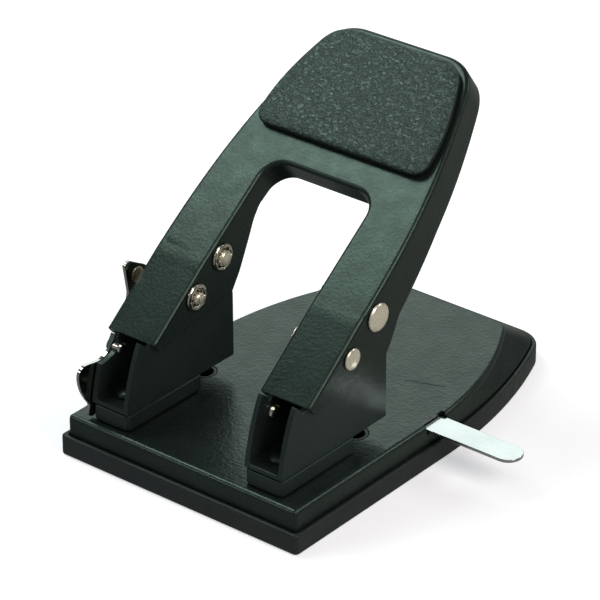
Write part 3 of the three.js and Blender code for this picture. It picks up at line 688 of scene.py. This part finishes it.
def punch_pin(name, side):
    r, low, top, groove = 3.55, 23.2, 63.8, 60.3
    neck, above = r - 0.8, groove + 1.2
    pts = [(0, low + 0.8), (1.8, low + 0.6), (r, low), (r, groove), (neck, groove), (neck, above), (r, above),
           (r, top - 0.6), (r - 0.18, top - 0.2), (r - 0.6, top), (0, top)]
    obj = lathe(f"{name} punch pin", pts, (side * HEAD_X, PIN_Y, 0))
    return dress(obj, f"{name}_punch", [f"{name}_punch_pin"], GROUND, bevel=0.1)


def spring_seat(name, side):
    pts = [(3.7, 58.6), (5.5, 58.6), (5.8, 58.9), (5.8, 59.7), (5.5, 60), (3.7, 60)]
    obj = lathe(f"{name} spring seat", pts, (side * HEAD_X, PIN_Y, 0))
    return dress(obj, f"{name}_punch", [f"{name}_spring_seat"], ZINC, bevel=0.12)


def clip(name, side):
    x = side * HEAD_X
    pts = [(3.05, 60.4), (5.3, 60.4), (5.3, 61.4), (3.05, 61.4)]
    obj = lathe(f"{name} retaining clip", pts, (x, PIN_Y, 0))
    boolean(obj, [box("mouth", x - 1.6, x + 1.6, 47, PIN_Y, 59, 63)])
    return dress(obj, f"{name}_punch", [f"{name}_retaining_clip"], GROUND, bevel=0.15)


def spring(name, side):
    """Coil spring with closed ground ends."""
    wire, radius, z0, z1, turns, steps, n = 0.65, 4.9, 33.95, 57.65, 6, 44, 12
    x = side * HEAD_X
    total = turns + 1.5
    rings = []
    for i in range(int(total * steps) + 1):
        t = i / steps
        a = 2 * pi * t
        lift = min(max((t - 0.75) / (total - 1.5), 0), 1)
        z = z0 + (z1 - z0) * lift
        c = Vector((radius * cos(a), radius * sin(a), 0))
        out = c.normalized()
        rings.append([(x + c.x + out.x * wire * cos(b), PIN_Y + c.y + out.y * wire * cos(b), z + wire * sin(b))
                      for b in (2 * pi * k / n for k in range(n))])
    obj = loft(f"{name} punch spring", rings)
    dress(obj, "base", [f"{name}_punch_spring"], ZINC, bevel=0)
    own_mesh(obj)
    return obj


def dome(base, radius, height, n=10):
    """A turned head's outline from its rim to its crown."""
    angles = (pi / 2 * k / n for k in range(1, n))
    return [(radius * cos(a), base + height * sin(a)) for a in angles] + [(0, base + height)]


def leg_rivet(name, side, label, where, shaft, head, height):
    """A rivet through both walls of a leg. Behind the lever's arm, on the left, the heads are smaller."""
    if side < 0:
        head, height = head - 1, height - 0.6
    outer, end = LEG_OUT + GAP, LEG_IN - GAP - 1 - GAP
    pts = [(0, end - 1.2), (shaft - 1.1, end - 1.15), (shaft - 0.4, end - 0.85), (shaft, end - 0.3),
           (shaft, outer), (head - 0.1, outer), (head, outer + 0.15), (head, outer + 0.35)]
    pts += dome(outer + 0.35, head - 0.05, height - 0.35)
    pts = [(r, h * side) for r, h in pts]
    obj = lathe(f"{name} {label} rivet", pts, (0, *where), "x")
    return dress(obj, "handle", [f"{name}_{label}_rivet"], SATIN, bevel=0.12)


def washer(name, side, label, where, shaft):
    """Push-on star washer: a dished ring with teeth round its bore and notches in its rim."""
    x1 = LEG_IN - GAP
    outer, teeth, n = 5.2, 8, 96
    inner = shaft + 0.3
    rings = []
    for r, h in ((1, 0), (1, 0.35), (0.94, 0.6), (0.55, 1.0), (0, 0.78), (0, 0.45), (0.5, 0.5), (0.9, 0.0)):
        pts = []
        for i in range(n):
            a = 2 * pi * i / n
            bite = 0.5 + 0.5 * math.tanh(9 * (abs((a * teeth / (2 * pi)) % 1 - 0.5) - 0.36))
            bore = inner + bite * 0.95
            radius = bore + (outer - bore) * r
            pts.append((side * (x1 - h), where[0] + radius * cos(a), where[1] + radius * sin(a)))
        rings.append(pts)
    obj = loft(f"{name} {label} washer", rings, closed=True)
    return dress(obj, "handle", [f"{name}_{label}_washer"], NICKEL, bevel=0)


def cheek_rivet(name, side):
    """Through one cheek only: on the left it carries the lever, and has a smaller head inside."""
    inner = side * HEAD_X - CHEEK + GAP
    reach, head, height = (-45.3, 2.3, 1.4) if side < 0 else (HEAD_X - HEAD_HALF - GAP, 2.75, 1.75)
    pts = [(0, reach - 1.1), (1.2, reach - 1.02), (2.1, reach - 0.75), (2.5, reach - 0.4), (2.6, reach),
           (2, reach), (2, inner), (head - 0.05, inner), (head + 0.05, inner + 0.15)]
    pts += dome(inner + 0.15, head, height)
    obj = lathe(f"{name} cheek rivet", pts, (0, *LEVER), "x")
    return dress(obj, "base", [f"{name}_cheek_rivet"], NICKEL, bevel=0.1)


# ---- lock lever and paper guide -----------------------------------------------------------------

def lock_lever():
    """Thumb tab beside the left cheek and an arm outside the leg, joined by a stud behind the lever's pivot."""
    inner, outer, t = -43.8, -49.0, 1.2
    pts = bezier([(18.6, 43.2), (16, 38), (11, 37.4)], 12)
    pts += bezier([(11, 37.4), (8, 37.2), (5, 38.6), (2.2, 38.2)], 10)
    pts += bezier([(2.2, 38.2), (-0.6, 37.6), (-0.8, 34.6), (-0.2, 32)], 12)
    pts += bezier([(-0.2, 32), (0.6, 27.6), (3, 24.6), (4.6, 22.2)], 12)
    pts += bezier([(4.6, 22.2), (5, 21.2), (4, 19.6), (4, 18.6)], 8)
    pts += bezier([(4, 18.6), (4, 16.2), (8.6, 16.2), (9, 18.8)], 12)
    pts += bezier([(9, 18.8), (9.4, 22), (8.6, 25), (11, 28.6)], 10)
    pts += bezier([(11, 28.6), (13, 31.6), (20, 30.6), (26.4, 30.4)], 12)
    pts += bezier([(26.4, 30.4), (30.4, 30.6), (31.4, 35), (28.6, 37.4)], 10)
    pts += bezier([(28.6, 37.4), (26.4, 39.4), (24.4, 40.8), (22.4, 42.4)], 8)
    lower = prism_x("lock lever", pts, inner - t, inner)
    arm = bezier([(23.4, 35.4), (22.8, 31.4), (27.4, 29.6), (30.6, 33)], 12)
    arm += line((30.6, 33), (36.8, 46.6), 4) + bezier([(36.8, 46.6), (39, 51.4), (42, 54.2), (45.8, 57.4)], 8)
    arm += [(45.8, 57.4), (41.6, 61.1)] + bezier([(41.6, 61.1), (37.4, 63.4), (33.4, 65.7)], 6)
    arm += bezier([(33.4, 65.7), (31.2, 66), (30.8, 64.4)], 6) + line((30.8, 64.4), (32.6, 53.6), 4)
    arm += bezier([(32.6, 53.6), (32.4, 48), (26, 40), (23.4, 35.4)], 10)
    upper = prism_x("arm", arm, outer - t, outer)
    stud = lathe("stud", [(0, outer - t), (3.5, outer - t), (3.5, inner), (0, inner)], (0, 27, 34), "x", 48)
    hole = lathe("hole", [(0, -60), (2.15, -60), (2.15, -30), (0, -30)], (0, *LEVER), "x", 32)
    boolean(lower, [stud, upper], "UNION")
    boolean(lower, [hole])
    return dress(lower, "lock_lever", ["lock_lever"], MIRROR, bevel=0.3, segments=3)


def paper_guide():
    half, y, reach = 5.5, GUIDE_Y, 88.8
    pts = [(-6, y - half), (40, y - half)] + arc(reach - half, y, half, -pi / 2, pi / 2, 28, True)
    pts += [(40, y + half), (-6, y + half)]
    strip = prism_z("paper guide", pts, 13.2, 14.4)
    stop = box("stop", -6, -4, y - 3, y + 3, 12, 13.4)
    boolean(strip, [stop], "UNION")
    return dress(strip, "paper_guide", ["paper_guide"], CHROME, bevel=0.28, segments=3)


def guide_rail():
    lip, floor, y = BASE_TOP - SHEET - GAP, 10.7, GUIDE_Y
    i, o, t = 6.0, 12.0, 1.0
    pts = [(y - o, lip), (y - o, lip - t), (y - i - t, lip - t), (y - i - t, floor - t), (y + i + t, floor - t),
           (y + i + t, lip - t), (y + o, lip - t), (y + o, lip), (y + i, lip), (y + i, floor), (y - i, floor),
           (y - i, lip)]
    obj = prism_x("guide rail", pts, -44, 46)
    return dress(obj, "base", ["guide_rail"], ZINC, bevel=0.25, segments=3)


def rail_rivet(k, x, y):
    low = BASE_TOP - SHEET - GAP - 1 - GAP
    pts = [(0, low - 1), (1.4, low - 0.95), (2.1, low - 0.6), (2.4, low), (1.2, low), (1.2, BASE_TOP - 0.12),
           (0.9, BASE_TOP - 0.1), (0, BASE_TOP - 0.1)]
    obj = lathe(f"rail rivet {k}", pts, (x, y, 0), n=40)
    return dress(obj, "base", [f"rail_rivet_{k}"], ENAMEL_HEAD_LIGHTENED, bevel=0)


def guide_spring():
    """A bowed leaf that presses up on the strip."""
    under, sheet, x0, x1 = 12.9, 0.4, 16, 40
    low = under - 1.6
    bow = [(x0 + (x1 - x0) * i / 32, low + (under - sheet - low) * sin(pi * i / 32)) for i in range(33)]
    outline = bow + [(x, z + sheet) for x, z in reversed(bow)]
    obj = loft("guide spring", [[(x, y, z) for x, z in outline] for y in (77.6, 85.6)])
    return dress(obj, "base", ["guide_spring"], ZINC, bevel=0.1)


base_plate()
chip_tray()
handle()
handle_pad()
lock_lever()
paper_guide()
guide_rail()
guide_spring()
for k, (x, y) in enumerate((x, y) for x in (-18, 30) for y in (72.0, 91.2)):
    rail_rivet(k + 1, x, y)
for name, side in (("left", -1), ("right", 1)):
    bracket(name, side)
    foot_block(name, side)
    foot_rivet(name, side, 1, 15)
    foot_rivet(name, side, 2, 37)
    die_bush(name, side)
    pin_guide(name, side)
    punch_pin(name, side)
    spring(name, side)
    spring_seat(name, side)
    clip(name, side)
    leg_rivet(name, side, "pivot", PIVOT, 2.4, 4.0, 1.35)
    leg_rivet(name, side, "pusher", PUSHER, 3.0, 5.3, 1.8)
    washer(name, side, "pivot", PIVOT, 2.4)
    washer(name, side, "pusher", PUSHER, 3.0)
    cheek_rivet(name, side)

# ---- stage, light and camera --------------------------------------------------------------------

def sheet(name, z, half=3.0):
    """A flat square of the stage, in metres."""
    mesh = bpy.data.meshes.new(name)
    corners = [(-half, -half, z), (half, -half, z), (half, half, z), (-half, half, z)]
    mesh.from_pydata(corners, [], [(0, 1, 2, 3)])
    obj = bpy.data.objects.new(name, mesh)
    scene.collection.objects.link(obj)
    return obj


def floor():
    """A pale table with painted light: it glows, dimly near the object and more brightly away from it, so that
    the picture's corners are white.
    """
    obj = sheet("floor", 0)
    n = Nodes("studio floor")
    tint = n.ramp(n.noise(3, 3), (0.3, (0.93, 0.87, 0.93)), (0.7, (0.96, 0.90, 0.96)))
    reach = n.add("ShaderNodeVectorMath", operation="LENGTH")
    n.feed(reach.inputs[0], n.coord)
    # Painted light: the floor's emission rises from 0.42 near the object to 0.9 far away.
    n.set(Base_Color=tint, Roughness=0.9, Specular_IOR_Level=0.1, Emission_Color=(0.96, 0.98, 1.0, 1),
          Emission_Strength=n.span(reach.outputs["Value"], 0.12, 1.2, 0.42, 0.9))
    obj.data.materials.append(n.material)
    obj.visible_glossy = False


def area(name, direction, distance, size, radiance, colour=(1, 1, 1), target=(0, 0, 0.06)):
    """A soft box of the given brightness, in that direction from the target, facing it."""
    light = bpy.data.lights.new(name, "AREA")
    light.shape = "RECTANGLE"
    light.size, light.size_y = size
    light.energy = radiance * pi * size[0] * size[1]
    light.color = colour
    obj = bpy.data.objects.new(name, light)
    obj.location = Vector(target) + Vector(direction).normalized() * distance
    obj.rotation_euler = Vector(direction).to_track_quat("Z", "Y").to_euler()
    obj.visible_camera = False
    scene.collection.objects.link(obj)
    return obj


floor()
world = bpy.data.worlds.new("studio")
scene.world = world
world.use_nodes = True
tree = world.node_tree
backdrop = tree.nodes["Background"]
backdrop.inputs[0].default_value = (0.94, 0.97, 1.0, 1)
# White where the camera sees it, and dim as a light.
seen = tree.nodes.new("ShaderNodeLightPath").outputs["Is Camera Ray"]
level = tree.nodes.new("ShaderNodeMapRange")
level.inputs["To Min"].default_value = 0.14
level.inputs["To Max"].default_value = 0.95
tree.links.new(seen, level.inputs["Value"])
tree.links.new(level.outputs["Result"], backdrop.inputs[1])

# The overhead box shows in the handle's top sheet, the backdrop in the base's top, the right box in the folded
# edges, the rear right one in the heads' outer sides, and the front left one in the front edges.
GREEN = (0.84, 1.0, 0.92)


area("overhead", (0, 0, 1), 0, (0.34, 0.27), 6.4, GREEN, (-0.36, -0.066, 0.60))
area("backdrop", (-0.60, 0.68, 0.40), 1.3, (1.3, 0.6), 1.4, GREEN)
area("right", (0.80, -0.12, 0.60), 1.2, (0.5, 0.6), 6.0, (1.0, 0.97, 0.86))
area("rear right", (0.48, 0.68, 0.55), 1.3, (0.5, 0.35), 4.0, (0.9, 1.0, 0.92))
area("front left", (-0.55, -0.72, 0.44), 1.1, (0.3, 0.2), 5.0, (0.9, 1.0, 0.92))
area("front fill", (0.55, -0.75, 1.2), 1.6, (0.9, 0.9), 1.2)


def table_sheen():
    """What glossy faces that look down reflect: a lit table, darker towards the front left."""
    obj = sheet("table_sheen", -0.02)
    n = Nodes("table sheen")
    glow = n.ramp(n.span(n.along((0.63, 0.78, 0)), -0.1, 0.15, 0.0, 1.0), (0.0, (0.18, 0.195, 0.20)),
                  (1.0, (0.26, 0.265, 0.235)))
    n.set(Base_Color=(0, 0, 0, 1), Specular_IOR_Level=0.0, Emission_Color=glow, Emission_Strength=1.0)
    obj.data.materials.append(n.material)
    obj.visible_camera = obj.visible_diffuse = obj.visible_shadow = False


table_sheen()

# The photograph's angle, its focal length and its principal point in pixels of a 600 x 600 picture.
AZ, EL, DISTANCE = radians(38.912), radians(28.769), 1.260607
PIXELS, FOCAL, MIDDLE = 600, 3521.228, (316.288, 307.253)
SENSOR = 36         # mm
camera = bpy.data.objects.new("camera", bpy.data.cameras.new("camera"))
scene.collection.objects.link(camera)
aim = Vector((0, FRONT + 0.078, 0.045))
back = Vector((sin(AZ) * cos(EL), -cos(AZ) * cos(EL), sin(EL)))
camera.location = aim + back * DISTANCE
camera.rotation_euler = (-back).to_track_quat("-Z", "Y").to_euler()
camera.data.sensor_width = SENSOR
camera.data.lens = SENSOR * FOCAL / PIXELS
camera.data.shift_x = (PIXELS / 2 - MIDDLE[0]) / PIXELS
camera.data.shift_y = (MIDDLE[1] - PIXELS / 2) / PIXELS
camera.data.clip_start, camera.data.clip_end = 0.05, 20
scene.camera = camera
scene.view_settings.view_transform = "Standard"
